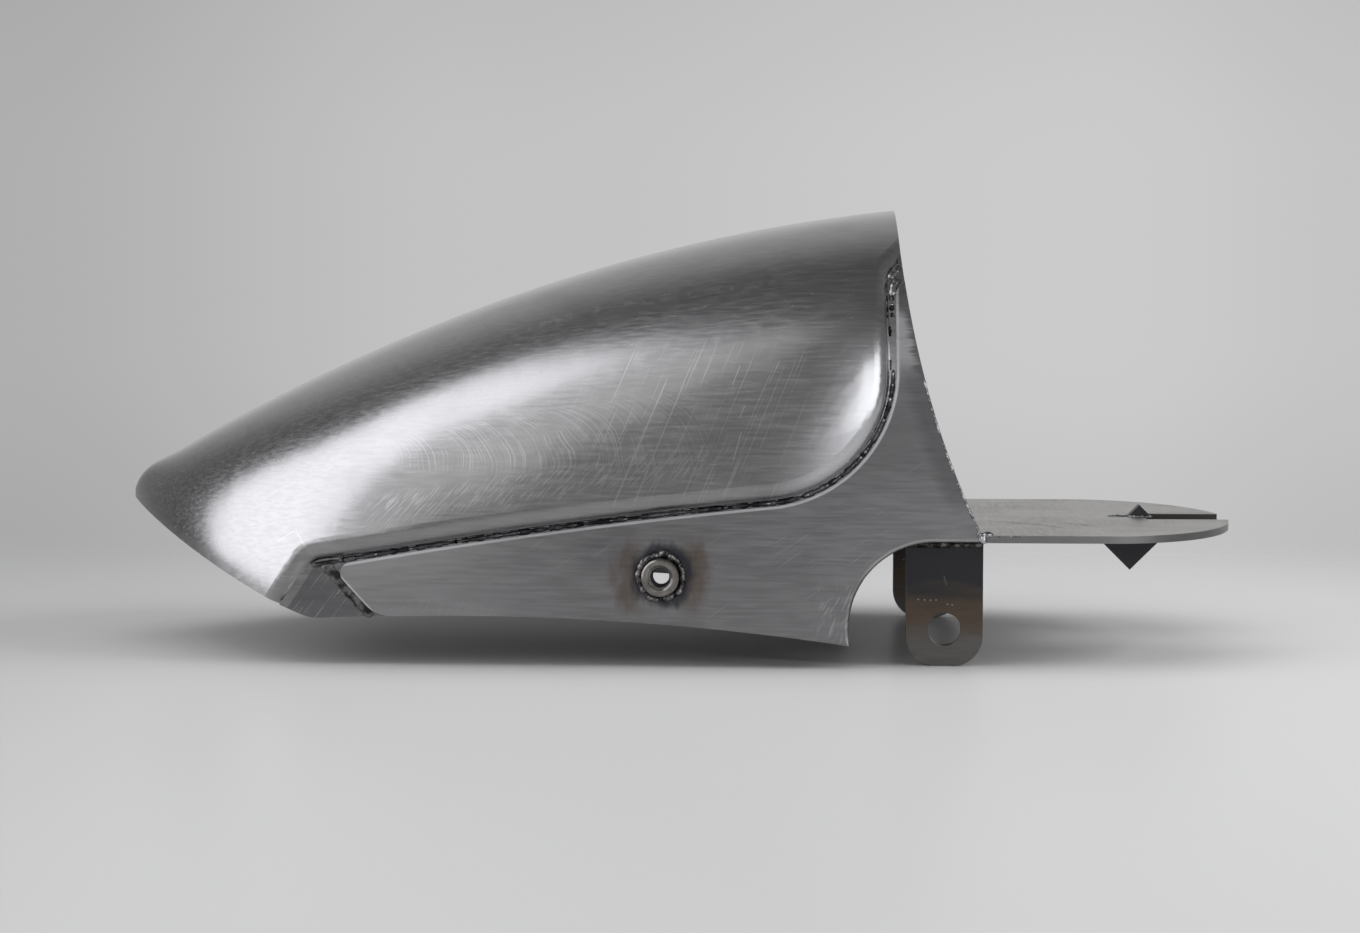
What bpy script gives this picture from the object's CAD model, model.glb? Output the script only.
# %% [markdown]
# # A hand-made motorcycle rear fender
# The fender is bare steel: a beaten and sanded hump, two side panels, a flat seat plate, a tab, two lugs
# and two bungs. The solids come from the CAD frame. This lesson gives them their steel, and adds the welds
# that hold them together.

import math
import random

import bpy
import bmesh
from mathutils import Matrix, Vector
from mathutils.bvhtree import BVHTree


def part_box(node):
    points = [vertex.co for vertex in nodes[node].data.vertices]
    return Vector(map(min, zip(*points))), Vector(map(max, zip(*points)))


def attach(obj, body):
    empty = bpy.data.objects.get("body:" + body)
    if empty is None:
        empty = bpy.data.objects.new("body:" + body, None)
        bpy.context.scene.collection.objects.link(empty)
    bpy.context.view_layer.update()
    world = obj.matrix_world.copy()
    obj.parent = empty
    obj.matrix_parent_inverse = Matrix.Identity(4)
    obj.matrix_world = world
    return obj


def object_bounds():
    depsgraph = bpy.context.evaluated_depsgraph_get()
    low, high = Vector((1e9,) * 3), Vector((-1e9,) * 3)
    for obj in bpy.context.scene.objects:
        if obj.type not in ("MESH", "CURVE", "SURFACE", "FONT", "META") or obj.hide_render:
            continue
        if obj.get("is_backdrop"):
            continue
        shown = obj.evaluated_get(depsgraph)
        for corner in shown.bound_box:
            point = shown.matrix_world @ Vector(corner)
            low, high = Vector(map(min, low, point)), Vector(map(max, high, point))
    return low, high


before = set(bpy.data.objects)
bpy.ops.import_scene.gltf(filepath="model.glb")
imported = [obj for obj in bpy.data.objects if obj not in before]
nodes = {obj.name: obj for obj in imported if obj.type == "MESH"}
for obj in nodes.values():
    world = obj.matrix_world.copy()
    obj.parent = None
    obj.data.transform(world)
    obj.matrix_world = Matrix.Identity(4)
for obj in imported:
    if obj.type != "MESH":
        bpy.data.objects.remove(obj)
cad_low, cad_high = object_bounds()
print("nodes:", sorted(nodes))

# %% [markdown]
# ## Camera
# The camera stands low on the fender's right side, a metre away, and looks a little down and a little to
# the rear. Its place and lens were fitted to the picture, so a pixel of the render falls where the same
# pixel of the picture does.

# %% Camera
camera_place = Vector((-0.053163, -1.053144, 0.128262))
camera_yaw = -0.052
camera_pitch = 0.066
camera_data = bpy.data.cameras.new("camera")
camera_data.sensor_width = 36.0
camera_data.lens = 65.88
camera_data.clip_start = 0.05
camera_data.clip_end = 50.0
camera = bpy.data.objects.new("camera", camera_data)
bpy.context.scene.collection.objects.link(camera)
looking = Vector(
    (
        math.sin(camera_yaw) * math.cos(camera_pitch),
        math.cos(camera_yaw) * math.cos(camera_pitch),
        -math.sin(camera_pitch),
    )
)
camera.location = camera_place
camera.rotation_euler = looking.to_track_quat("-Z", "Y").to_euler()
bpy.context.scene.camera = camera
bpy.context.scene.view_settings.view_transform = "Standard"
print("camera at", tuple(round(v, 3) for v in camera.location))

# %% [markdown]
# ## Floor and light
# A studio gives bare steel its look: a pale sweep below and behind, a dark room above and behind the
# camera, and soft lamps. A tall window on the camera's left makes the broad bright band on the hump, with a
# curtain beside it, and a doorway on its right lights the roll. A ceiling and a fill light the floor alone,
# so the steel doesn't mirror them. The floor is a plane that fades out far from the fender, so it runs into
# the pale background with no horizon line. Where the steel mirrors it, it gets darker towards the camera,
# where the room is dark.

# %% Floor
floor_z = -0.0145
floor_fade = (0.48, 0.85)
floor_roughness = 0.3
floor_shine = 0.12
bpy.ops.object.select_all(action="DESELECT")
bpy.ops.mesh.primitive_plane_add(size=8.0, location=(0, 0, floor_z))
floor = bpy.context.object
floor.name = "floor"
floor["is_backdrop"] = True


def new_material(name):
    """An empty node material, with its output."""
    material = bpy.data.materials.new(name)
    material.use_nodes = True
    tree = material.node_tree
    tree.nodes.clear()
    output = tree.nodes.new("ShaderNodeOutputMaterial")
    return material, tree, output


def graded(tree, value, low, high, stops):
    """A ramp of greys over a range of one value."""
    share = tree.nodes.new("ShaderNodeMapRange")
    share.inputs["From Min"].default_value = low
    share.inputs["From Max"].default_value = high
    ramp = tree.nodes.new("ShaderNodeValToRGB")
    ramp.color_ramp.interpolation = "EASE"
    points = ramp.color_ramp.elements
    while len(points) < len(stops):
        points.new(0.5)
    for point, (place, grey) in zip(points, stops):
        point.position = place
        point.color = (grey, grey, grey, 1.0)
    tree.links.new(value, share.inputs["Value"])
    tree.links.new(share.outputs["Result"], ramp.inputs["Fac"])
    return ramp.outputs["Color"]


def multiplied(tree, first, second):
    """Two colours multiplied together."""
    node = tree.nodes.new("ShaderNodeMix")
    node.data_type = "RGBA"
    node.blend_type = "MULTIPLY"
    node.inputs["Factor"].default_value = 1.0
    tree.links.new(first, node.inputs["A"])
    tree.links.new(second, node.inputs["B"])
    return node.outputs["Result"]


floor_material, tree, output = new_material("pale_floor")
coordinates = tree.nodes.new("ShaderNodeTexCoord")
oval = tree.nodes.new("ShaderNodeMapping")
oval.inputs["Location"].default_value = (0.035, 0.35, 0)
oval.inputs["Scale"].default_value = (0.35, 1.0, 1.0)
distance = tree.nodes.new("ShaderNodeVectorMath")
distance.operation = "LENGTH"
fade = tree.nodes.new("ShaderNodeMapRange")
fade.interpolation_type = "SMOOTHSTEP"
fade.inputs["From Min"].default_value, fade.inputs["From Max"].default_value = floor_fade
place = tree.nodes.new("ShaderNodeSeparateXYZ")
tree.links.new(coordinates.outputs["Object"], place.inputs["Vector"])
floor_greys = [(0.0, 0.40), (0.35, 0.505), (0.7, 0.49), (1.0, 0.39)]
along_floor = graded(tree, place.outputs["X"], -0.5, 0.4, floor_greys)
mirrored_floor = graded(tree, place.outputs["Y"], -0.70, -0.20, [(0.0, 0.36), (1.0, 0.68)])
rays = tree.nodes.new("ShaderNodeLightPath")
shade = tree.nodes.new("ShaderNodeMix")
shade.data_type = "RGBA"
shade.inputs["A"].default_value = (1.0, 1.0, 1.0, 1.0)
tree.links.new(rays.outputs["Is Glossy Ray"], shade.inputs["Factor"])
tree.links.new(mirrored_floor, shade.inputs["B"])
paint = tree.nodes.new("ShaderNodeBsdfDiffuse")
tree.links.new(multiplied(tree, along_floor, shade.outputs["Result"]), paint.inputs["Color"])
gloss = tree.nodes.new("ShaderNodeBsdfGlossy")
gloss.inputs["Color"].default_value = (0.9, 0.9, 0.9, 1.0)
gloss.inputs["Roughness"].default_value = floor_roughness
waxed = tree.nodes.new("ShaderNodeMixShader")
waxed.inputs["Fac"].default_value = floor_shine
clear = tree.nodes.new("ShaderNodeBsdfTransparent")
mix = tree.nodes.new("ShaderNodeMixShader")
tree.links.new(coordinates.outputs["Object"], oval.inputs["Vector"])
tree.links.new(oval.outputs["Vector"], distance.inputs[0])
tree.links.new(distance.outputs["Value"], fade.inputs["Value"])
tree.links.new(paint.outputs["BSDF"], waxed.inputs[1])
tree.links.new(gloss.outputs["BSDF"], waxed.inputs[2])
tree.links.new(fade.outputs["Result"], mix.inputs["Fac"])
tree.links.new(waxed.outputs["Shader"], mix.inputs[1])
tree.links.new(clear.outputs["BSDF"], mix.inputs[2])
tree.links.new(mix.outputs["Shader"], output.inputs["Surface"])
floor.data.materials.append(floor_material)
print("floor at", floor_z)

# %% World
surrounding_grey = 0.21
world = bpy.data.worlds.new("studio")
bpy.context.scene.world = world
world.use_nodes = True
tree = world.node_tree
tree.nodes.clear()
output = tree.nodes.new("ShaderNodeOutputWorld")
coordinates = tree.nodes.new("ShaderNodeTexCoord")
split = tree.nodes.new("ShaderNodeSeparateXYZ")
tree.links.new(coordinates.outputs["Generated"], split.inputs["Vector"])

# What the steel mirrors
depth = graded(tree, split.outputs["Y"], -1.0, 1.0, [(0.0, 0.24), (0.62, 0.19), (0.88, 0.50), (1.0, 0.72)])
height = graded(tree, split.outputs["Z"], 0.0, 1.0, [(0.0, 1.0), (0.55, 1.0), (0.8, 0.92), (1.0, 0.66)])
rear = graded(tree, split.outputs["X"], -1.0, 1.0, [(0.0, 0.42), (0.12, 0.55), (0.32, 1.0), (1.0, 1.0)])
room = multiplied(tree, multiplied(tree, depth, height), rear)
room_light = tree.nodes.new("ShaderNodeBackground")
tree.links.new(room, room_light.inputs["Color"])

# What the camera sees behind the fender
backdrop = tree.nodes.new("ShaderNodeBackground")
across = graded(tree, split.outputs["X"], -0.32, 0.22, [(0.0, 0.43), (0.35, 0.54), (0.8, 0.60), (1.0, 0.555)])
upwards = graded(tree, split.outputs["Z"], -0.1, 0.15, [(0.0, 0.92), (0.35, 1.0), (0.6, 1.0), (1.0, 0.92)])
tree.links.new(multiplied(tree, across, upwards), backdrop.inputs["Color"])

# What lights the floor, and the choice between the three
surroundings = tree.nodes.new("ShaderNodeBackground")
surroundings.inputs["Color"].default_value = (*[surrounding_grey] * 3, 1.0)
rays = tree.nodes.new("ShaderNodeLightPath")
mirrored = tree.nodes.new("ShaderNodeMixShader")
tree.links.new(rays.outputs["Is Glossy Ray"], mirrored.inputs["Fac"])
tree.links.new(surroundings.outputs["Background"], mirrored.inputs[1])
tree.links.new(room_light.outputs["Background"], mirrored.inputs[2])
seen = tree.nodes.new("ShaderNodeMixShader")
tree.links.new(rays.outputs["Is Camera Ray"], seen.inputs["Fac"])
tree.links.new(mirrored.outputs["Shader"], seen.inputs[1])
tree.links.new(backdrop.outputs["Background"], seen.inputs[2])
tree.links.new(seen.outputs["Shader"], output.inputs["Surface"])
print("world:", world.name)


# %% Lamps
def soft_lamp(name, place, target, width, height, watts):
    """A large rectangular lamp that faces a point."""
    data = bpy.data.lights.new(name, "AREA")
    data.shape = "RECTANGLE"
    data.size = width
    data.size_y = height
    data.energy = watts
    lamp = bpy.data.objects.new(name, data)
    bpy.context.scene.collection.objects.link(lamp)
    lamp.location = place
    lamp.rotation_euler = (Vector(target) - Vector(place)).to_track_quat("-Z", "Y").to_euler()
    lamp.visible_camera = False
    return lamp


window = soft_lamp("window", (-1.516, -0.529, 1.7), (-0.2, -0.05, 1.7), 1.3, 3.4, 29.0)
window.data.color = (0.96, 0.965, 1.0)
soft_lamp("curtain", (-0.92, -1.28, 1.5), (-0.15, -0.05, 1.5), 0.62, 3.0, 3.9)
doorway = soft_lamp("doorway", (0.712, -1.277, 0.6), (-0.03, -0.09, 0.6), 1.3, 1.2, 6.4)
doorway.data.color = (0.97, 0.98, 1.0)
ceiling = soft_lamp("ceiling", (-0.3, -0.1, 2.4), (-0.1, 0.0, 0.0), 2.4, 2.4, 28.0)
ceiling.visible_glossy = False
fill = soft_lamp("fill", (1.15, -0.15, 0.8), (0.12, 0.1, 0.0), 0.8, 0.8, 17.0)
fill.visible_glossy = False

# %% [markdown]
# ## Bare steel
# Every piece is steel, so one function makes every steel: a metal with a fine grain that was brushed in one
# direction. The grain is noise that is stretched along the brushing. It moves the roughness and the colour
# a little, and as a bump it breaks up the reflections. Marks and heat colours are laid over that grain, one
# function for each kind of piece. They could be painted by hand on an image. Worked out from the place on
# the piece, they stay sharp at any size.

# %% Node helpers


def calc(tree, operation, first, second=0.0, third=0.0):
    """A math node on sockets or plain numbers."""
    node = tree.nodes.new("ShaderNodeMath")
    node.operation = operation
    for socket, value in zip(node.inputs, (first, second, third)):
        if isinstance(value, (int, float)):
            socket.default_value = value
        else:
            tree.links.new(value, socket)
    return node.outputs["Value"]


def eased(tree, value, low, high):
    """0 at low, 1 at high, and a smooth step between them. A low above high turns the step round."""
    node = tree.nodes.new("ShaderNodeMapRange")
    node.interpolation_type = "SMOOTHSTEP"
    node.inputs["From Min"].default_value = low
    node.inputs["From Max"].default_value = high
    tree.links.new(value, node.inputs["Value"])
    return node.outputs["Result"]


def product(tree, *values):
    """Several values multiplied together."""
    result = values[0]
    for value in values[1:]:
        result = calc(tree, "MULTIPLY", result, value)
    return result


def strongest(tree, *values):
    """The largest of several values."""
    result = values[0]
    for value in values[1:]:
        result = calc(tree, "MAXIMUM", result, value)
    return result


def hypotenuse(tree, run, rise):
    """The length of a line from its run and its rise."""
    return calc(tree, "SQRT", calc(tree, "MULTIPLY_ADD", run, run, calc(tree, "MULTIPLY", rise, rise)))


def off_by(tree, value, target):
    """How far a value is from a target."""
    return calc(tree, "ABSOLUTE", calc(tree, "SUBTRACT", value, target))


def between(tree, value, start, full, ending, end):
    """0 at the start, 1 from full to ending, and 0 again at the end."""
    return product(tree, eased(tree, value, start, full), eased(tree, value, end, ending))


def tinted(tree, base, colour, amount):
    """A colour laid over a base colour by an amount from 0 to 1."""
    node = tree.nodes.new("ShaderNodeMix")
    node.data_type = "RGBA"
    node.inputs["B"].default_value = (*colour, 1.0)
    tree.links.new(base, node.inputs["A"])
    tree.links.new(amount, node.inputs["Factor"])
    return node.outputs["Result"]


def local(tree, point, origin=(0, 0, 0), turn=0.0, size=(1, 1, 1)):
    """Coordinates from an origin, turned in the fender's side view and measured in steps of a size."""
    node = tree.nodes.new("ShaderNodeMapping")
    node.vector_type = "TEXTURE"
    node.inputs["Location"].default_value = origin
    node.inputs["Rotation"].default_value = (0, -turn, 0)
    node.inputs["Scale"].default_value = size
    tree.links.new(point, node.inputs["Vector"])
    return node.outputs["Vector"]


def noise(tree, point, detail=3.0):
    """Cloudy noise with features about one step wide."""
    node = tree.nodes.new("ShaderNodeTexNoise")
    node.inputs["Scale"].default_value = 1.0
    node.inputs["Detail"].default_value = detail
    tree.links.new(point, node.inputs["Vector"])
    return node.outputs["Fac"]


def parts(tree, point):
    """The X, Y and Z of a point."""
    node = tree.nodes.new("ShaderNodeSeparateXYZ")
    tree.links.new(point, node.inputs["Vector"])
    return node.outputs["X"], node.outputs["Y"], node.outputs["Z"]


def side_line(tree, point, start, end, width):
    """1 on a thin line in the fender's side view, and 0 beside it. Start and end are X and Z."""
    run, rise = end[0] - start[0], end[1] - start[1]
    length = math.hypot(run, rise)
    along, _, across = parts(tree, local(tree, point, (start[0], 0, start[1]), math.atan2(rise, run)))
    thin = eased(tree, calc(tree, "ABSOLUTE", across), width, width * 0.3)
    return product(tree, thin, between(tree, along, 0, length * 0.1, length * 0.9, length))


def strokes(tree, point, slant, length, width, low, high):
    """Thin strokes at a slant in degrees in the side view: 1 on a stroke and 0 between strokes."""
    grain = noise(tree, local(tree, point, turn=math.radians(slant), size=(length, 1.0, width)), detail=1.0)
    return eased(tree, grain, low, high)


def patchy(tree, point, size, low, high):
    """Cloudy patches of a size along X, Y and Z: 1 in a patch and 0 between patches."""
    return eased(tree, noise(tree, local(tree, point, size=size)), low, high)


def from_point(tree, point, centre):
    """The distance from a point in the side view."""
    x, _, z = parts(tree, local(tree, point, (centre[0], 0, centre[1])))
    return hypotenuse(tree, x, z)


# %% Steel
grain_low, grain_high = 0.3, 0.7
polish_low, polish_high = 0.85, 1.15


def steel(name, colour, roughness, grain_size, depth, spread=0.07, dress=None):
    """A brushed steel. Grain size, along X, Y and Z, and depth are in metres. Dress lays marks over it."""
    material, tree, output = new_material(name)
    shader = tree.nodes.new("ShaderNodeBsdfPrincipled")
    shader.inputs["Metallic"].default_value = 1.0
    coordinates = tree.nodes.new("ShaderNodeTexCoord")
    point = coordinates.outputs["Object"]
    grain = noise(tree, local(tree, point, size=grain_size), detail=4.0)
    tone = tree.nodes.new("ShaderNodeMix")
    tone.data_type = "RGBA"
    tone.inputs["A"].default_value = (*[c * (1 - spread) for c in colour], 1.0)
    tone.inputs["B"].default_value = (*[c * (1 + spread) for c in colour], 1.0)
    tree.links.new(eased(tree, grain, grain_low, grain_high), tone.inputs["Factor"])
    polish = tree.nodes.new("ShaderNodeMapRange")
    polish.inputs["From Min"].default_value = grain_low
    polish.inputs["From Max"].default_value = grain_high
    polish.inputs["To Min"].default_value = roughness * polish_low
    polish.inputs["To Max"].default_value = roughness * polish_high
    bump = tree.nodes.new("ShaderNodeBump")
    bump.inputs["Strength"].default_value = 1.0
    bump.inputs["Distance"].default_value = depth
    tree.links.new(grain, polish.inputs["Value"])
    tree.links.new(grain, bump.inputs["Height"])
    base = dress(tree, point, tone.outputs["Result"]) if dress else tone.outputs["Result"]
    tree.links.new(base, shader.inputs["Base Color"])
    tree.links.new(polish.outputs["Result"], shader.inputs["Roughness"])
    tree.links.new(bump.outputs["Normal"], shader.inputs["Normal"])
    tree.links.new(shader.outputs["BSDF"], output.inputs["Surface"])
    return material


# %% [markdown]
# ## The groove
# A groove runs between the hump's foot and the panel: a long, slightly bowed run from the tail, a sweep,
# and an upright up to the rim, where it runs out. The panel's edge along it was filed round and catches the
# light, the hump's roll beside it was dressed bright, and welds fill it. All need its line, so it is drawn
# here once more from the same dimensions as the solids.

# %% Points along a line


def stepped(start, end, step):
    """Points on a straight line in the side view, a step apart."""
    count = max(2, round(math.dist(start, end) / step))
    run, rise = end[0] - start[0], end[1] - start[1]
    return [(start[0] + run * i / count, start[1] + rise * i / count) for i in range(count + 1)]


def around(centre, radius, first, last, step):
    """Points on an arc in the side view, a step apart, from one angle to another in radians."""
    count = max(2, round(abs(last - first) * radius / step))
    angles = [first + (last - first) * i / count for i in range(count + 1)]
    return [(centre[0] + radius * math.cos(a), centre[1] + radius * math.sin(a)) for a in angles]


# %% Groove line
groove_start = Vector((-0.247, 0.0262))
groove_end = Vector((-0.022, 0.0555))
groove_bow = 0.003
groove_width = 0.0025
groove_middle = groove_width / 2
sweep_radius = 0.0505
chord = groove_end - groove_start
bow_radius = (chord.length**2 / 4 + groove_bow**2) / (2 * groove_bow)
down = Vector((chord.y, -chord.x)).normalized()
bow_centre = (groove_start + groove_end) / 2 + down * (bow_radius - groove_bow)
sweep_x = groove_end.x - sweep_radius
sweep_z = bow_centre.y + math.sqrt((bow_radius + sweep_radius) ** 2 - (sweep_x - bow_centre.x) ** 2)
joint_angle = math.atan2(sweep_z - bow_centre.y, sweep_x - bow_centre.x)
first_angle = math.atan2(groove_start.y - bow_centre.y, groove_start.x - bow_centre.x)
puddle_step = 0.0014
long_run = around(bow_centre, bow_radius - groove_middle, first_angle, joint_angle, puddle_step)
sweep_run = around((sweep_x, sweep_z), sweep_radius + groove_middle, joint_angle - math.pi, 0.0, puddle_step)
upright_x = groove_end.x + groove_middle
run_out = ((-0.0212, 0.1385), (-0.0178, 0.1425))
print("groove:", len(long_run), "and", len(sweep_run), "points")
print("sweep centre:", round(sweep_x, 4), round(sweep_z, 4))

# %% [markdown]
# ## The hump's sanding marks
# The hump was beaten to shape and sanded by hand, and the marks of each tool still show. A disc sander left
# a fan of arcs, each a quarter circle a little further forward than the last, so an arc's number is X less
# the reach of the circle at that height. Straight scratches cross them. A scriber left thin lines at the
# tail, and the facet there is dull.

# %% Hump steel
arc_middle_z = 0.064
arc_radius_growth = 0.2
arc_radius_start = 0.055
arc_pitch = 0.0007
arc_wander = 9.0
scratch_slant, tick_slant, facet_slant = 67.5, 48, 52
crease_turn = math.radians(57.0)
pale_scratch = (0.74, 0.74, 0.76)
dull_facet = (0.25, 0.245, 0.255)
dull_cloud = (0.30, 0.30, 0.31)
bright_roll = (0.85, 0.85, 0.88)
hump_scratches = (
    ((-0.1077, 0.1002), (-0.1294, 0.0479), 0.0005),
    ((-0.1010, 0.0985), (-0.1215, 0.0490), 0.0003),
    ((-0.0791, 0.0790), (-0.0826, 0.0667), 0.0004),
    ((-0.0799, 0.1041), (-0.0830, 0.0960), 0.0004),
    ((-0.0645, 0.1060), (-0.0690, 0.0965), 0.0003),
    ((-0.0780, 0.0887), (-0.0800, 0.0835), 0.0004),
    ((-0.1340, 0.0692), (-0.1355, 0.0645), 0.0004),
    ((-0.0940, 0.0735), (-0.0960, 0.0680), 0.0004),
)
tail_scribes = (((-0.2552, 0.0386), (-0.2454, 0.0256)), ((-0.2632, 0.0336), (-0.2552, 0.0386)))
scribe_width = 0.0003
planished_seam = ((-0.168, 0.1172), (-0.136, 0.1259), (-0.0966, 0.1318), (-0.065, 0.1362))
planished_width = 0.0016


def sanding_arcs(tree, point):
    """The disc sander's fan of arcs."""
    x, _, z = parts(tree, point)
    radius = calc(tree, "MULTIPLY_ADD", x, arc_radius_growth, arc_radius_start)
    rise = calc(tree, "SUBTRACT", z, arc_middle_z)
    share = calc(tree, "DIVIDE", rise, radius)
    rest = calc(tree, "SUBTRACT", calc(tree, "MULTIPLY", radius, radius), calc(tree, "MULTIPLY", rise, rise))
    reach = calc(tree, "SQRT", calc(tree, "MAXIMUM", rest, 0.0))
    wander = noise(tree, local(tree, point, size=(0.03, 0.03, 0.02)))
    number = calc(tree, "DIVIDE", calc(tree, "SUBTRACT", x, reach), arc_pitch)
    number = calc(tree, "MULTIPLY_ADD", wander, arc_wander, number)
    by_number = tree.nodes.new("ShaderNodeTexNoise")
    by_number.noise_dimensions = "1D"
    by_number.inputs["Scale"].default_value = 1.0
    by_number.inputs["Detail"].default_value = 2.0
    tree.links.new(number, by_number.inputs["W"])
    lines = eased(tree, by_number.outputs["Fac"], 0.49, 0.63)
    ends = between(tree, share, -0.25, 0.1, 0.85, 0.99)
    fan = between(tree, x, -0.225, -0.195, -0.112, -0.078)
    patches = patchy(tree, point, (0.012, 0.012, 0.012), 0.30, 0.55)
    return product(tree, lines, ends, fan, patches, 0.34)


def sander_ticks(tree, point):
    """Short slanted marks at the lower ends of the arcs."""
    x, _, z = parts(tree, point)
    foot = calc(tree, "MULTIPLY_ADD", x, 0.16, 0.084)
    above_foot = calc(tree, "SUBTRACT", z, foot)
    ticks = strokes(tree, point, tick_slant, 0.008, 0.0007, 0.52, 0.64)
    band = between(tree, above_foot, -0.011, -0.004, 0.002, 0.007)
    fan = between(tree, x, -0.232, -0.215, -0.10, -0.075)
    return product(tree, ticks, band, fan, 0.4)


def straight_scratches(tree, point):
    """Random scratches across the middle of the hump."""
    x, _, z = parts(tree, point)
    across = strokes(tree, point, scratch_slant, 0.045, 0.0007, 0.60, 0.70)
    middle = between(tree, x, -0.155, -0.125, -0.065, -0.04)
    band = between(tree, z, 0.045, 0.06, 0.10, 0.122)
    return product(tree, across, middle, band, 0.4)


def dressed_roll(tree, point):
    """1 on the roll that was dressed bright beside the groove's sweep and upright."""
    x, _, z = parts(tree, point)
    run = calc(tree, "SUBTRACT", x, sweep_x)
    drop = calc(tree, "MINIMUM", calc(tree, "SUBTRACT", z, sweep_z), 0.0)
    reach = hypotenuse(tree, run, drop)
    ragged = noise(tree, local(tree, point, turn=math.radians(60), size=(0.02, 0.02, 0.002)))
    band = calc(tree, "MULTIPLY_ADD", ragged, 0.008, calc(tree, "SUBTRACT", reach, sweep_radius + 0.004))
    where = product(tree, eased(tree, x, -0.07, -0.045), eased(tree, z, 0.122, 0.104))
    return product(tree, eased(tree, band, -0.030, -0.006), where)


def tail_facet(tree, point):
    """1 on the facet at the tail, below the groove's start and ahead of the crease, and 0 elsewhere."""
    x, _, z = parts(tree, point)
    run = calc(tree, "MULTIPLY", calc(tree, "SUBTRACT", x, groove_start.x), math.sin(crease_turn))
    rise = calc(tree, "MULTIPLY", calc(tree, "SUBTRACT", z, groove_start.y), math.cos(crease_turn))
    ahead = eased(tree, calc(tree, "SUBTRACT", run, rise), 0.0, 0.0008)
    return product(tree, ahead, eased(tree, z, groove_start.y + 0.001, groove_start.y))


def dress_hump(tree, point, base):
    """The dull facet, the dressed roll, sanding arcs, scratches, scribed lines and the planished seam."""
    clouds = patchy(tree, point, (0.05, 0.05, 0.02), 0.52, 0.72)
    base = tinted(tree, base, dull_cloud, product(tree, clouds, 0.35))
    facet = tail_facet(tree, point)
    base = tinted(tree, base, dull_facet, product(tree, facet, 0.9))
    base = tinted(tree, base, bright_roll, product(tree, dressed_roll(tree, point), 0.65))
    facet_strokes = strokes(tree, point, facet_slant, 0.02, 0.0006, 0.6, 0.7)
    marks = [sanding_arcs(tree, point), straight_scratches(tree, point), sander_ticks(tree, point)]
    marks.append(product(tree, facet_strokes, facet, 0.45))
    for start, end, width in hump_scratches:
        marks.append(product(tree, side_line(tree, point, start, end, width), 0.5))
    for start, end in tail_scribes:
        marks.append(product(tree, side_line(tree, point, start, end, scribe_width), 0.2))
    beats = patchy(tree, point, (0.004, 0.02, 0.004), 0.45, 0.6)
    for start, end in zip(planished_seam, planished_seam[1:]):
        marks.append(product(tree, side_line(tree, point, start, end, planished_width), beats, 0.3))
    return tinted(tree, base, pale_scratch, strongest(tree, *marks))


hump_grain = (0.016, 0.002, 0.0011)
hump_steel = steel("sanded_hump_steel", (0.43, 0.425, 0.43), 0.24, hump_grain, 0.000006, dress=dress_hump)
print("hump steel:", len(hump_steel.node_tree.nodes), "nodes")

# %% [markdown]
# ## Heat colours
# Welding left its colours: blue-black close to a weld, then brown, then clean steel. On a panel they are
# rings round the bung, a little ragged, so they follow the distance from its axis plus some noise. On a lug
# they run down from the weld at its top, so they follow Z. The panel also changes tone along its length,
# and the plate's cut edges are dark.

# %% Panel steel
bung_low, bung_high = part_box("right_bung")
bung_x = (bung_low[0] + bung_high[0]) / 2
bung_z = (bung_low[2] + bung_high[2]) / 2
cutout_centre, cutout_radius = (-0.0042, 0.0018), 0.0334
lip_middle = 0.0006
edge_middle = 0.0005
rear_edge = ((-0.2380, 0.0212), (-0.2222, 0.0045))
rim_foot, rim_top, rim_hollow = Vector((0.0152, 0.0352)), Vector((-0.0184, 0.1665)), 0.0074
rim_chord = rim_top - rim_foot
rim_radius = (rim_chord.length**2 / 4 + rim_hollow**2) / (2 * rim_hollow)
forward = Vector((rim_chord.y, -rim_chord.x)).normalized()
rim_centre = (rim_foot + rim_top) / 2 + forward * (rim_radius - rim_hollow)
sheet_colour = (0.30, 0.297, 0.303)
dark_cloud = (0.20, 0.198, 0.205)
pale_stroke = (0.5, 0.5, 0.51)
pale_rear = (0.46, 0.455, 0.465)
dark_top = (0.17, 0.17, 0.173)
pale_scuff = (0.55, 0.55, 0.56)
dark_front = (0.10, 0.10, 0.105)
strip_glint = (0.88, 0.88, 0.91)
blue_black = (0.06, 0.062, 0.075)
heat_brown = (0.17, 0.122, 0.088)
lip_shine = (0.62, 0.61, 0.60)
edge_shine = (0.85, 0.85, 0.87)


def filed_edge(tree, point):
    """1 along the panel's edge at the groove and at its slanted rear end, and 0 elsewhere."""
    x, _, z = parts(tree, point)
    inset = groove_width + edge_middle
    run = off_by(tree, from_point(tree, point, bow_centre), bow_radius - inset)
    turn = off_by(tree, from_point(tree, point, (sweep_x, sweep_z)), sweep_radius + inset)
    upright = off_by(tree, x, groove_end.x + inset)
    before = calc(tree, "LESS_THAN", x, sweep_x + 0.005)
    past = calc(tree, "SUBTRACT", 1.0, before)
    above = calc(tree, "GREATER_THAN", z, sweep_z)
    below = calc(tree, "SUBTRACT", 1.0, above)
    lines = [(run, product(tree, before, below)), (turn, product(tree, past, below)), (upright, above)]
    edges = [side_line(tree, point, *rear_edge, 0.0012)]
    for off, where in lines:
        edges.append(product(tree, eased(tree, off, 0.0008, 0.0003), where))
    return strongest(tree, *edges)


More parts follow.
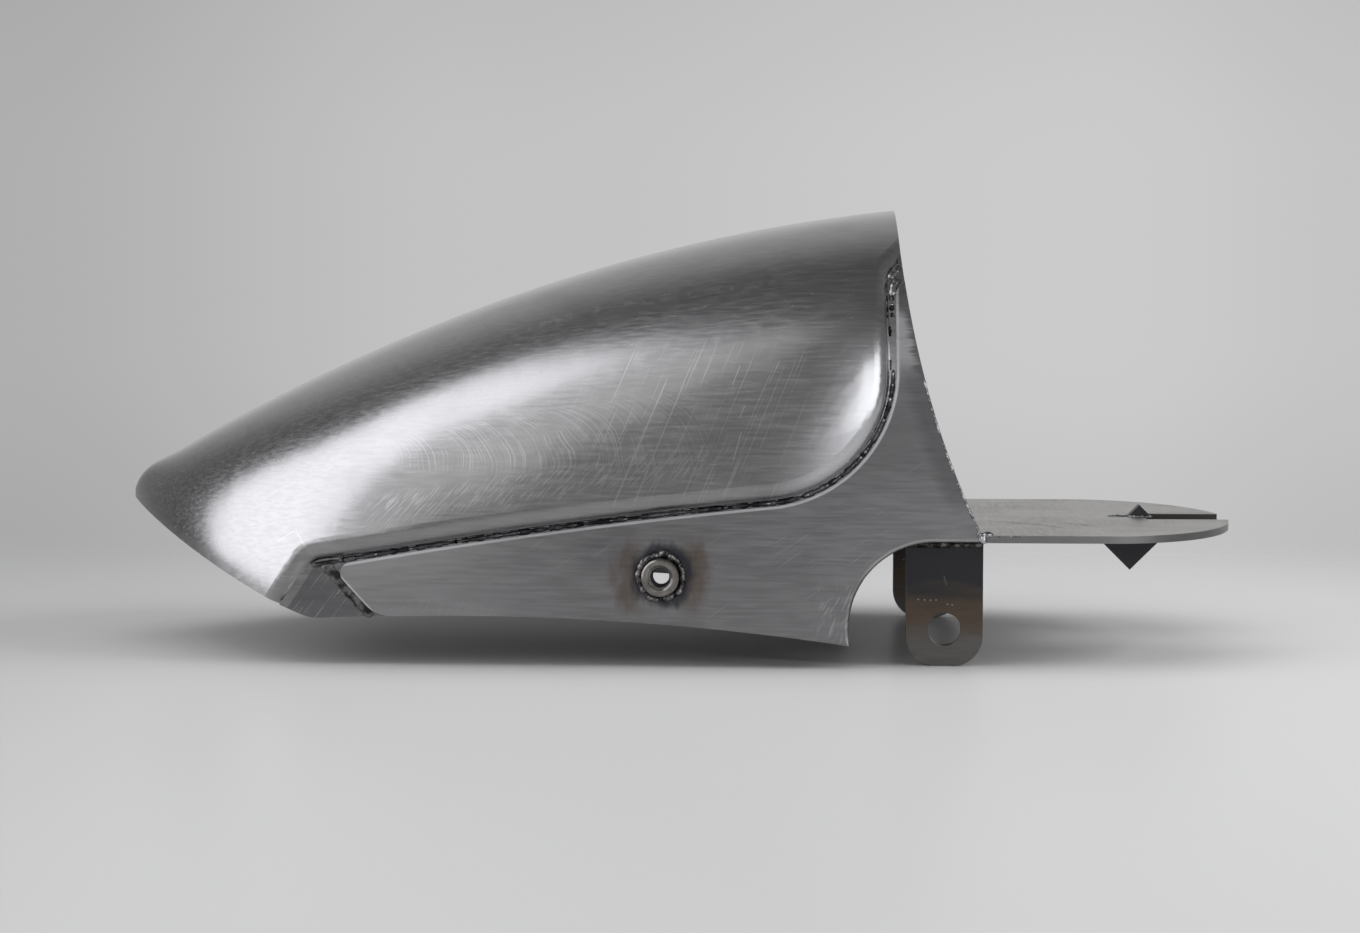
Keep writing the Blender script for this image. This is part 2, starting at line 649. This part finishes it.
def turned_lip(tree, point):
    """1 on the round where the lip turns in along the top of the cut-out."""
    x, _, z = parts(tree, point)
    turn = off_by(tree, from_point(tree, point, cutout_centre), cutout_radius + lip_middle)
    flat = off_by(tree, z, cutout_centre[1] + cutout_radius + lip_middle)
    off = tree.nodes.new("ShaderNodeMix")
    tree.links.new(calc(tree, "GREATER_THAN", x, cutout_centre[0]), off.inputs["Factor"])
    tree.links.new(turn, off.inputs["A"])
    tree.links.new(flat, off.inputs["B"])
    return product(tree, eased(tree, off.outputs["Result"], 0.0013, 0.0005), eased(tree, z, 0.018, 0.028))


def panel_wear(tree, point, base):
    """Cloudy patches, scratches and scuffs, and tones that change along the panel."""
    x, _, z = parts(tree, point)
    clouds = patchy(tree, point, (0.04, 0.04, 0.02), 0.48, 0.72)
    base = tinted(tree, base, dark_cloud, product(tree, clouds, 0.4))
    across = strokes(tree, point, 35, 0.02, 0.0006, 0.68, 0.74)
    base = tinted(tree, base, pale_stroke, product(tree, across, 0.4))
    ticks = strokes(tree, point, 60, 0.006, 0.0007, 0.54, 0.66)
    low_rear = product(tree, between(tree, z, 0.005, 0.007, 0.011, 0.014), eased(tree, x, -0.165, -0.19))
    base = tinted(tree, base, pale_stroke, product(tree, ticks, low_rear, 0.45))
    base = tinted(tree, base, pale_rear, product(tree, eased(tree, x, -0.13, -0.20), 0.6))
    base = tinted(tree, base, dark_top, product(tree, eased(tree, z, 0.046, 0.07), 0.4))
    scuffs = strokes(tree, point, 66, 0.007, 0.0008, 0.52, 0.64)
    corner = product(tree, eased(tree, x, -0.054, -0.044), between(tree, z, -0.008, 0.0, 0.014, 0.022))
    return tinted(tree, base, pale_scuff, product(tree, scuffs, corner, 0.5))


def front_strip(tree, point, base):
    """Dark streaks along the front edge, and the bright patch near the strip's top."""
    _, _, z = parts(tree, point)
    streaks = noise(tree, local(tree, point, size=(0.02, 0.02, 0.0012)))
    behind = calc(tree, "SUBTRACT", from_point(tree, point, rim_centre), rim_radius)
    behind = calc(tree, "MULTIPLY_ADD", streaks, 0.008, calc(tree, "SUBTRACT", behind, 0.004))
    shaded = product(tree, eased(tree, behind, 0.0105, 0.004), between(tree, z, 0.040, 0.055, 0.102, 0.116))
    base = tinted(tree, base, dark_front, product(tree, shaded, 0.42))
    glint = product(tree, between(tree, z, 0.096, 0.111, 0.121, 0.127), eased(tree, behind, 0.0, 0.004))
    return tinted(tree, base, strip_glint, product(tree, glint, 0.6))


def bung_heat(tree, point, base):
    """Ragged rings round the bung: brown to its sides, and blue-black close to it."""
    x, _, z = parts(tree, local(tree, point, (bung_x, 0, bung_z)))
    ragged = noise(tree, local(tree, point, size=(0.006, 0.02, 0.012)))
    reach = calc(tree, "SUBTRACT", hypotenuse(tree, x, z), 0.006)
    reach = calc(tree, "MULTIPLY_ADD", ragged, 0.012, reach)
    sideways = calc(tree, "DIVIDE", calc(tree, "ABSOLUTE", x), calc(tree, "ADD", reach, 0.001))
    brown = product(tree, eased(tree, reach, 0.0225, 0.015), eased(tree, sideways, 0.3, 0.95), 0.68)
    base = tinted(tree, base, heat_brown, brown)
    return tinted(tree, base, blue_black, product(tree, eased(tree, reach, 0.0150, 0.0100), 0.92))


def dress_panel(tree, point, base):
    """Wear, the front strip's tones, heat rings round the bung, and the bright lip and filed edge."""
    for lay in (panel_wear, front_strip, bung_heat):
        base = lay(tree, point, base)
    base = tinted(tree, base, lip_shine, product(tree, turned_lip(tree, point), 0.6))
    return tinted(tree, base, edge_shine, product(tree, filed_edge(tree, point), 0.8))


def dress_bulkhead(tree, point, base):
    """Cloudy patches only."""
    clouds = patchy(tree, point, (0.04, 0.04, 0.03), 0.45, 0.7)
    return tinted(tree, base, dark_cloud, product(tree, clouds, 0.5))


along_grain, across_grain = (0.016, 0.0011, 0.0011), (0.0011, 0.016, 0.0011)
fine, coarse = 0.000008, 0.000012
panel_steel = steel("brushed_panel_steel", sheet_colour, 0.34, along_grain, fine, dress=dress_panel)
bulkhead_steel = steel("brushed_bulkhead_steel", sheet_colour, 0.34, across_grain, fine, dress=dress_bulkhead)
print("panel steel:", len(panel_steel.node_tree.nodes), "nodes")

# %% Plate, lug and bung steel
plate_low, plate_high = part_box("seat_plate")
notch_half, notch_back = 0.014, 0.087
plate_scribes = (((-0.018, -0.088), 0.0735, -0.061, -0.020), ((0.002, -0.078), 0.0665, -0.052, -0.028))
scribe_fade = 0.01
lug_nicks = (
    (-0.0103, 0.0118),
    (-0.0078, 0.0116),
    (-0.0055, 0.0115),
    (-0.0033, 0.0116),
    (0.0012, 0.0100),
    (0.0030, 0.0097),
)
lug_scratch = ((-0.0004, 0.0215), (0.0008, 0.0172))
plate_bloom = (0.33, 0.315, 0.295)
cut_grey = (0.20, 0.195, 0.20)
notch_black = (0.035, 0.033, 0.03)
scribe_brown = (0.10, 0.09, 0.085)
lug_brown = (0.115, 0.085, 0.062)
lug_black = (0.045, 0.047, 0.053)
nick_grey = (0.45, 0.44, 0.42)


def dress_plate(tree, point, base):
    """A faint brown bloom, dark cut edges, black notch walls, and the arcs a scriber left."""
    x, y, z = parts(tree, point)
    bloom = patchy(tree, point, (0.05, 0.03, 0.05), 0.42, 0.65)
    base = tinted(tree, base, plate_bloom, product(tree, bloom, 0.7))
    cut_edge = eased(tree, z, plate_high[2] - 0.00005, plate_high[2] - 0.0003)
    base = tinted(tree, base, cut_grey, product(tree, cut_edge, 0.8))
    beside = eased(tree, calc(tree, "ABSOLUTE", y), notch_half + 0.0004, notch_half + 0.0001)
    ahead = eased(tree, x, notch_back - 0.0006, notch_back - 0.0001)
    base = tinted(tree, base, notch_black, product(tree, cut_edge, beside, ahead, 0.9))
    for centre, radius, low_y, high_y in plate_scribes:
        run = calc(tree, "SUBTRACT", x, centre[0])
        rise = calc(tree, "SUBTRACT", y, centre[1])
        off = off_by(tree, hypotenuse(tree, run, rise), radius)
        span = between(tree, y, low_y, low_y + scribe_fade, high_y - scribe_fade, high_y)
        arc = product(tree, eased(tree, off, 0.0013, 0.0005), span)
        base = tinted(tree, base, scribe_brown, product(tree, arc, 0.95))
    return base


def dress_lug(tree, point, base):
    """Heat colours down from the weld, blue-black, brown, then grey scale, and a few bright nicks."""
    _, _, z = parts(tree, point)
    ragged = noise(tree, local(tree, point, size=(0.02, 0.02, 0.004)))
    level = calc(tree, "MULTIPLY_ADD", ragged, 0.016, calc(tree, "SUBTRACT", z, 0.008))
    base = tinted(tree, base, lug_brown, product(tree, eased(tree, level, -0.010, 0.008), 0.95))
    base = tinted(tree, base, lug_black, product(tree, eased(tree, level, 0.004, 0.021), 0.95))
    marks = [product(tree, side_line(tree, point, *lug_scratch, scribe_width), 0.2)]
    for nick in lug_nicks:
        marks.append(product(tree, eased(tree, from_point(tree, point, nick), 0.0005, 0.0002), 0.5))
    return tinted(tree, base, nick_grey, strongest(tree, *marks))


lug_grain, bung_grain = (0.008, 0.0014, 0.0014), (0.003, 0.001, 0.003)
plate_steel = steel("brushed_plate_steel", (0.46, 0.45, 0.44), 0.40, across_grain, fine, dress=dress_plate)
lug_steel = steel("scaled_lug_steel", (0.155, 0.15, 0.142), 0.42, lug_grain, coarse, dress=dress_lug)
bung_steel = steel("turned_bung_steel", (0.34, 0.32, 0.30), 0.30, bung_grain, fine, 0.25)
finishes = {
    "hump_shell": hump_steel,
    "right_side_panel": panel_steel,
    "left_side_panel": panel_steel,
    "front_bulkhead": bulkhead_steel,
    "seat_plate": plate_steel,
    "locating_tab": lug_steel,
    "right_lug": lug_steel,
    "left_lug": lug_steel,
    "right_bung": bung_steel,
    "left_bung": bung_steel,
}
for node, material in finishes.items():
    nodes[node].data.materials.clear()
    nodes[node].data.materials.append(material)
print("steels:", sorted({m.name for m in finishes.values()}))

# %% [markdown]
# ## Welds
# The pieces are held by welds. A weld is a row of small overlapping puddles, so one puddle is modelled, a
# flattened dome, and copied along each seam with a little chance in its size. A voxel remesh then fuses the
# copies into one lumpy bead. To sit on the steel, each puddle is placed where a straight line from the side
# first meets a solid.

# %% One puddle
bpy.ops.object.select_all(action="DESELECT")
bpy.ops.mesh.primitive_uv_sphere_add(segments=10, ring_count=6, radius=1.0, location=(0, 0, 0))
puddle = bpy.context.object
puddle.name = "puddle"
bpy.ops.object.mode_set(mode="EDIT")
bpy.ops.mesh.select_all(action="SELECT")
bpy.ops.mesh.bisect(plane_co=(0, 0, -0.5), plane_no=(0, 0, 1), use_fill=True, clear_inner=True)
bpy.ops.object.mode_set(mode="OBJECT")
print("puddle:", len(puddle.data.polygons), "faces")

# %% Weld steels
pit_size = 0.0008
pit_depth = 0.00008


def weld_steel(name, dark, bright, patch, roughness):
    """Mottled steel: dark scale with bright patches of about one size."""
    material, tree, output = new_material(name)
    shader = tree.nodes.new("ShaderNodeBsdfPrincipled")
    shader.inputs["Metallic"].default_value = 1.0
    shader.inputs["Roughness"].default_value = roughness
    coordinates = tree.nodes.new("ShaderNodeTexCoord")
    point = coordinates.outputs["Object"]
    mottle = noise(tree, local(tree, point, size=(patch, patch, patch)))
    tone = tree.nodes.new("ShaderNodeMix")
    tone.data_type = "RGBA"
    tone.inputs["A"].default_value = (*dark, 1.0)
    tone.inputs["B"].default_value = (*bright, 1.0)
    tree.links.new(eased(tree, mottle, 0.4, 0.62), tone.inputs["Factor"])
    bump = tree.nodes.new("ShaderNodeBump")
    bump.inputs["Strength"].default_value = 1.0
    bump.inputs["Distance"].default_value = pit_depth
    pits = noise(tree, local(tree, point, size=(pit_size, pit_size, pit_size)))
    tree.links.new(pits, bump.inputs["Height"])
    tree.links.new(tone.outputs["Result"], shader.inputs["Base Color"])
    tree.links.new(bump.outputs["Normal"], shader.inputs["Normal"])
    tree.links.new(shader.outputs["BSDF"], output.inputs["Surface"])
    return material


black_scale = weld_steel("black_weld_scale", (0.012, 0.012, 0.014), (0.10, 0.10, 0.11), 0.004, 0.45)
bright_weld = weld_steel("bright_weld_steel", (0.20, 0.20, 0.21), (0.62, 0.62, 0.64), 0.0025, 0.25)
dirty_weld = weld_steel("dirty_weld_steel", (0.03, 0.028, 0.027), (0.22, 0.21, 0.205), 0.003, 0.4)
ground_weld = weld_steel("ground_weld_steel", (0.09, 0.088, 0.09), (0.40, 0.395, 0.40), 0.004, 0.32)
seam_weld = weld_steel("seam_weld_steel", (0.035, 0.035, 0.038), (0.20, 0.20, 0.205), 0.010, 0.38)
stained_weld = weld_steel("stained_weld_steel", (0.04, 0.038, 0.037), (0.21, 0.204, 0.198), 0.004, 0.42)
flush_weld = weld_steel("flush_weld_steel", (0.20, 0.20, 0.205), (0.46, 0.455, 0.46), 0.003, 0.30)
ring_weld = weld_steel("bung_weld_steel", (0.05, 0.05, 0.056), (0.26, 0.25, 0.25), 0.003, 0.28)
weld_steels = [black_scale, bright_weld, dirty_weld, ground_weld]
weld_steels += [seam_weld, stained_weld, flush_weld, ring_weld]
print("weld steels:", [m.name for m in weld_steels])

# %% Laying a weld
sides = ((-1, "right"), (1, "left"))
far_out = 0.2
along_x = Vector((1, 0, 0))
depsgraph = bpy.context.evaluated_depsgraph_get()
skins = [BVHTree.FromObject(nodes[name], depsgraph) for name in sorted(nodes)]
print("skins:", len(skins))


def touch(x, z, side):
    """Where a line from one side, -1 or 1, first meets the fender, and the way out of the steel there."""
    start = Vector((x, side * far_out, z))
    hits = [skin.ray_cast(start, Vector((0, -side, 0))) for skin in skins]
    point, normal, _, _ = min((hit for hit in hits if hit[0]), key=lambda hit: hit[3])
    return point, normal if normal.y * side > 0 else -normal


def weld(name, puddles, voxel, material):
    """Puddles fused into one bead. Each has a place, a way along, a way out and three half sizes."""
    shape = bmesh.new()
    for place, along, out, sizes in puddles:
        across = out.cross(along).normalized()
        along = across.cross(out).normalized()
        rows = [along * sizes[0], across * sizes[1], out.normalized() * sizes[2]]
        turn = Matrix(rows).transposed().to_4x4()
        copy = puddle.data.copy()
        copy.transform(Matrix.Translation(place) @ turn)
        shape.from_mesh(copy)
        bpy.data.meshes.remove(copy)
    mesh = bpy.data.meshes.new(name)
    shape.to_mesh(mesh)
    shape.free()
    bead = bpy.data.objects.new(name, mesh)
    bpy.context.scene.collection.objects.link(bead)
    bead.data.materials.append(material)
    fuse = bead.modifiers.new("fuse", "REMESH")
    fuse.mode = "VOXEL"
    fuse.voxel_size = voxel
    bpy.ops.object.select_all(action="DESELECT")
    bead.select_set(True)
    bpy.context.view_layer.objects.active = bead
    bpy.ops.object.modifier_apply(modifier="fuse")
    bpy.ops.object.shade_smooth()
    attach(bead, "root")
    print(name, len(bead.data.polygons), "faces")


def seam(points, side, luck, half_sizes, keep=1.0, vary=0.33):
    """Puddles along points in the side view, each kept by a chance. Their half sizes vary by a share."""
    puddles = []
    for (x, z), (next_x, next_z) in zip(points, points[1:]):
        if luck.random() > keep:
            continue
        place, out = touch(x, z, side)
        along = Vector((next_x - x, 0, next_z - z))
        sizes = [size * luck.uniform(1 - vary, 1 + vary) for size in half_sizes]
        puddles.append((place, along, out, sizes))
    return puddles


# %% [markdown]
# ### The seam along the hump's foot
# Tack welds fill the groove's long run and its sweep in part, and between them the groove is black. The
# upright is clean but for two marks, and rough again near its top, where the seam was ground flush with the
# rim.

# %% Seam welds
seam_voxel = 0.00028
seam_seed = 40
low_run = long_run + sweep_run
mark_x = upright_x - 0.0012
mark_runs = [stepped((mark_x, z), (mark_x, z + 0.004), 0.0012) for z in (0.1025, 0.1155)]
top_run = stepped((upright_x - 0.0003, 0.122), (upright_x - 0.0006, 0.1335), 0.0013)
flush_run = stepped((upright_x, 0.1320), (upright_x + 0.0004, 0.1345), 0.0008)
flush_run += stepped((upright_x + 0.0006, 0.1352), (upright_x + 0.0020, 0.1368), 0.0008)
out_run = stepped(*run_out, 0.0008)

# Half the length, width and height of a puddle
scale_sizes = (0.0013, 0.0010, 0.0004)
mark_sizes = (0.001, 0.0007, 0.0004)
top_sizes = (0.0011, 0.0012, 0.0006)
filling_sizes = (0.0024, 0.0010, 0.0007)
long_tack = (0.0011, 0.0008, 0.0014)
sweep_tack = (0.0011, 0.0008, 0.0015)
top_tack = (0.001, 0.0009, 0.0009)
flush_sizes = (0.0020, 0.0018, 0.0013)
out_sizes = (0.0018, 0.0018, 0.0010)
flush_vary = 0.08


def stretches(points, luck, filled, open_gap):
    """Parts of a line of points, each about filled points long and about open_gap points apart."""
    runs = []
    first = 0
    while first < len(points):
        count = luck.randint(filled // 2, filled * 2)
        runs.append(points[first : first + count + 1])
        first += count + luck.randint(1, open_gap * 2)
    return [run for run in runs if len(run) > 1]


for side, word in sides:
    luck = random.Random(seam_seed + side)
    scale = seam(low_run, side, luck, scale_sizes)
    for run in mark_runs:
        scale += seam(run, side, luck, mark_sizes)
    scale += seam(top_run, side, luck, top_sizes, keep=0.7)
    weld(word + "_seam_scale", scale, seam_voxel, black_scale)
    filling = []
    for run in stretches(low_run, luck, 9, 2):
        filling += seam(run, side, luck, filling_sizes)
    weld(word + "_seam_filling", filling, seam_voxel, seam_weld)
    tacks = seam(long_run, side, luck, long_tack, keep=0.08)
    tacks += seam(sweep_run, side, luck, sweep_tack, keep=0.24)
    tacks += seam(top_run, side, luck, top_tack, keep=0.3)
    weld(word + "_seam_tacks", tacks, seam_voxel, bright_weld)
    flush = seam(flush_run, side, luck, flush_sizes, vary=flush_vary)
    flush += seam(out_run, side, luck, out_sizes, vary=flush_vary)
    weld(word + "_ground_weld", flush, seam_voxel, flush_weld)

# %% [markdown]
# ### The other welds
# A thin bright weld closes the front edge, with a lump where panel and plate meet. A broad dirty one closes
# the panel's slanted rear end. The lugs are welded along their tops, the tab at its foot, and each bung all
# round.

# %% Front edge and rear end welds
edge_voxel, rear_voxel = 0.00025, 0.0003
edge_seed = 60
edge_drops = [z - rim_centre.y for z in (0.0365, 0.098)]
edge_angles = [math.atan2(drop, -math.sqrt(rim_radius**2 - drop**2)) % math.tau for drop in edge_drops]
edge_run = around(rim_centre, rim_radius + 0.0004, *edge_angles, 0.0013)
rear_run = stepped((-0.2425, 0.0240), (-0.2256, 0.0060), 0.0012)
corner_run = stepped((0.0128, 0.0378), (0.0142, 0.0362), 0.0008)
edge_sizes = (0.0011, 0.0005, 0.0005)
corner_sizes = (0.0018, 0.0012, 0.0010)
rear_sizes = (0.0026, 0.0022, 0.0006)
drip_sizes = (0.0008, 0.0004, 0.0011)
lump_sizes = (0.0024, 0.0014, 0.0012)
drip_count = 5
for side, word in sides:
    luck = random.Random(edge_seed + side)
    edge = seam(edge_run, side, luck, edge_sizes, keep=0.75)
    edge += seam(corner_run, side, luck, corner_sizes)
    plate_edge = Vector((0.0160, side * 0.0893, 0.0384))
    for _ in range(drip_count):
        place = plate_edge + Vector((luck.uniform(0.002, 0.013), 0, -0.0007))
        edge.append((place, along_x, Vector((0, side, 0)), drip_sizes))
    edge.append((plate_edge, along_x, Vector((0, side, 1)), lump_sizes))
    weld(word + "_edge_weld", edge, edge_voxel, bright_weld)
    rear = seam(rear_run, side, luck, rear_sizes, vary=0.2)
    weld(word + "_rear_weld", rear, rear_voxel, stained_weld)

# %% Lug and bung welds
lug_voxel, bung_voxel = 0.0003, 0.0003
lug_seed = 80
lug_step = 0.0018
bung_puddles = 18
lug_low, lug_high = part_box("right_lug")
for side, word in sides:
    luck = random.Random(lug_seed + side)
    face_y = side * (max(abs(lug_low[1]), abs(lug_high[1])) + 0.0004)
    puddles = []
    x = lug_low[0] + 0.0015
    while x < lug_high[0] - 0.001:
        place = Vector((x, face_y, plate_low[2] - 0.0019))
        sizes = [0.0017, luck.uniform(0.0010, 0.0018), luck.uniform(0.0007, 0.0013)]
        puddles.append((place, along_x, Vector((0, side, -0.8)), sizes))
        x += lug_step
    weld(word + "_lug_weld", puddles, lug_voxel, dirty_weld)
    puddles = []
    face_y = side * min(abs(bung_low[1]), abs(bung_high[1]))
    outwards = Vector((0, side, 0))
    for i in range(bung_puddles):
        angle = math.tau * i / bung_puddles + luck.uniform(-0.12, 0.12)
        ray = Vector((math.cos(angle), 0, math.sin(angle)))
        place = Vector((bung_x, face_y, bung_z)) + ray * luck.uniform(0.0079, 0.0088)
        sizes = [luck.uniform(0.0022, 0.0031), luck.uniform(0.0016, 0.0023), luck.uniform(0.0024, 0.0038)]
        puddles.append((place, ray.cross(outwards), outwards + ray * 0.25, sizes))
    weld(word + "_bung_weld", puddles, bung_voxel, ring_weld)

# %% Tab weld
tab_voxel = 0.00025
tab_seed = 90
_, tab_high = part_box("locating_tab")
luck = random.Random(tab_seed)
puddles = []
for x in (0.0735, 0.0750, 0.0764, 0.0778, 0.0790):
    sizes = [0.0013, luck.uniform(0.0010, 0.0016), luck.uniform(0.0005, 0.0008)]
    place = Vector((x, luck.uniform(-0.0006, 0.0006), plate_high[2]))
    puddles.append((place, along_x, Vector((0, 0, 1)), sizes))
for side, _ in sides:
    for x in (0.0812, 0.0828, 0.0846, 0.0862, 0.0880, 0.0896):
        sizes = [0.0013, 0.0006, luck.uniform(0.0005, 0.0009)]
        place = Vector((x, side * tab_high[1], plate_high[2]))
        puddles.append((place, along_x, Vector((0, side * 0.7, 1)), sizes))
weld("tab_weld", puddles, tab_voxel, ground_weld)
bpy.data.objects.remove(puddle)

# %% [markdown]
# ### The bungs' thread
# Each bung is tapped for a fine thread. The solid has a plain bore at the tapping size, so the thread is a
# thin ridge that winds along its wall. A three-cornered outline and a Screw modifier wind it, as a tap cuts
# it.

# %% Threads
bore_radius = 0.0044
thread_pitch = 0.00125
thread_turns = 4
thread_steps = 32
thread_inset = 0.0012
ridge_radius = 0.00045
ridge_sink = 0.00005
for side, word in sides:
    outer = side * (max(abs(bung_low[1]), abs(bung_high[1])) - thread_inset)
    bpy.ops.object.select_all(action="DESELECT")
    outline_place = (bore_radius + ridge_sink, 0, 0)
    bpy.ops.mesh.primitive_circle_add(vertices=3, radius=ridge_radius, location=outline_place)
    thread = bpy.context.object
    thread.name = word + "_bung_ridge"
    bpy.ops.object.transform_apply(location=True, rotation=True, scale=True)
    wind = thread.modifiers.new("wind", "SCREW")
    wind.axis = "Y"
    wind.steps = thread_steps
    wind.render_steps = thread_steps
    wind.iterations = thread_turns
    wind.screw_offset = thread_pitch
    wind.use_merge_vertices = False
    bpy.ops.object.modifier_apply(modifier="wind")
    bpy.ops.object.mode_set(mode="EDIT")
    bpy.ops.mesh.select_all(action="SELECT")
    bpy.ops.mesh.fill_holes(sides=3)
    bpy.ops.mesh.normals_make_consistent(inside=False)
    bpy.ops.object.mode_set(mode="OBJECT")
    ridge_y = [v.co.y for v in thread.data.vertices]
    shift = outer - (max(ridge_y) if side > 0 else min(ridge_y))
    thread.data.transform(Matrix.Translation((bung_x, shift, bung_z)))
    thread.data.materials.append(bung_steel)
    bpy.ops.object.shade_smooth_by_angle(angle=math.radians(40))
    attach(thread, "root")
    print(thread.name, len(thread.data.polygons), "faces")

# %% [markdown]
# ## Sizes
# The dressed fender has to stay inside the box of the solids, so both boxes are written down and compared.

# %% Sizes and finish
low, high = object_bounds()
sizes = {"cad": [list(cad_low), list(cad_high)], "visual": [list(low), list(high)]}
print("visual box:", sizes["visual"])
